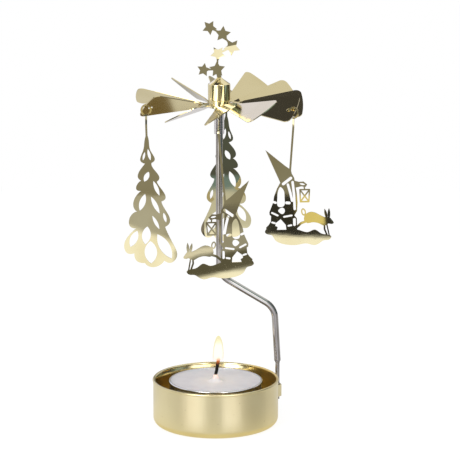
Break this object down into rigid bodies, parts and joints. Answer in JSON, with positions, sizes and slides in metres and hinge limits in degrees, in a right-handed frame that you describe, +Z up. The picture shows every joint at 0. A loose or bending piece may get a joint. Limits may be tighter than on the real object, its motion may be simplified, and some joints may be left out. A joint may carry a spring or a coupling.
{
  "type": "tea light carousel",
  "caption": "Spinning tea-light carousel: brass cup on a bent stem whose needle carries a bladed rotor with hanging fretwork trees and gnomes.",
  "frame": {"origin": "centre of the cup's underside, on the surface it stands on", "axes": "+Z up, +X from the cup's middle toward the foot of the stem"},
  "size_m": [0.0816, 0.0692, 0.1665],
  "materials": {
    "polished_brass": "polished",
    "satin_brass": "satin",
    "stem_steel": "polished",
    "bearing_glass": "clear",
    "foil": "bright",
    "wax": "waxy",
    "wick": "charred"
  },
  "bodies": {
    "holder": {"candle_cup": "satin_brass", "stem": "stem_steel"},
    "carousel": {"rotor": "polished_brass", "hub_cap": "polished_brass", "hub_bush": "polished_brass", "bearing_tube": "bearing_glass", "star_ornament": "polished_brass"},
    "right_gnome": {"gnome_right": "polished_brass"},
    "back_tree": {"tree_back": "polished_brass"},
    "left_tree": {"tree_left": "polished_brass"},
    "front_gnome": {"gnome_front": "polished_brass"},
    "tea_light": {"tealight_cup": "foil", "wax": "wax", "wick": "wick", "wick_sustainer": "foil"}
  },
  "joints": [
    {"name": "carousel_spin", "type": "hinge", "parent": "holder", "child": "carousel", "pos_m": [0.0016, 0, 0.1328], "axis": [0, 0, 1], "continuous": true},
    {"name": "right_gnome_swing", "type": "hinge", "parent": "carousel", "child": "right_gnome", "pos_m": [0.02637, -0.02156, 0.1317], "axis": [-0.7071, -0.7071, 0], "range_deg": [-10, 30]},
    {"name": "back_tree_swing", "type": "hinge", "parent": "carousel", "child": "back_tree", "pos_m": [0.01277, 0.03078, 0.13406], "axis": [0.9659, -0.2588, 0], "range_deg": [-10, 30]},
    {"name": "left_tree_swing", "type": "hinge", "parent": "carousel", "child": "left_tree", "pos_m": [-0.03034, -0.00758, 0.13304], "axis": [-0.2588, 0.9659, 0], "range_deg": [-10, 30]},
    {"name": "front_gnome_swing", "type": "hinge", "parent": "carousel", "child": "front_gnome", "pos_m": [-0.00698, -0.03172, 0.13214], "axis": [-0.9659, 0.2588, 0], "range_deg": [-10, 30]},
    {"name": "tea_light_lift", "type": "slide", "parent": "holder", "child": "tea_light", "axis": [0, 0, 1], "range_m": [0, 0.02]}
  ]
}
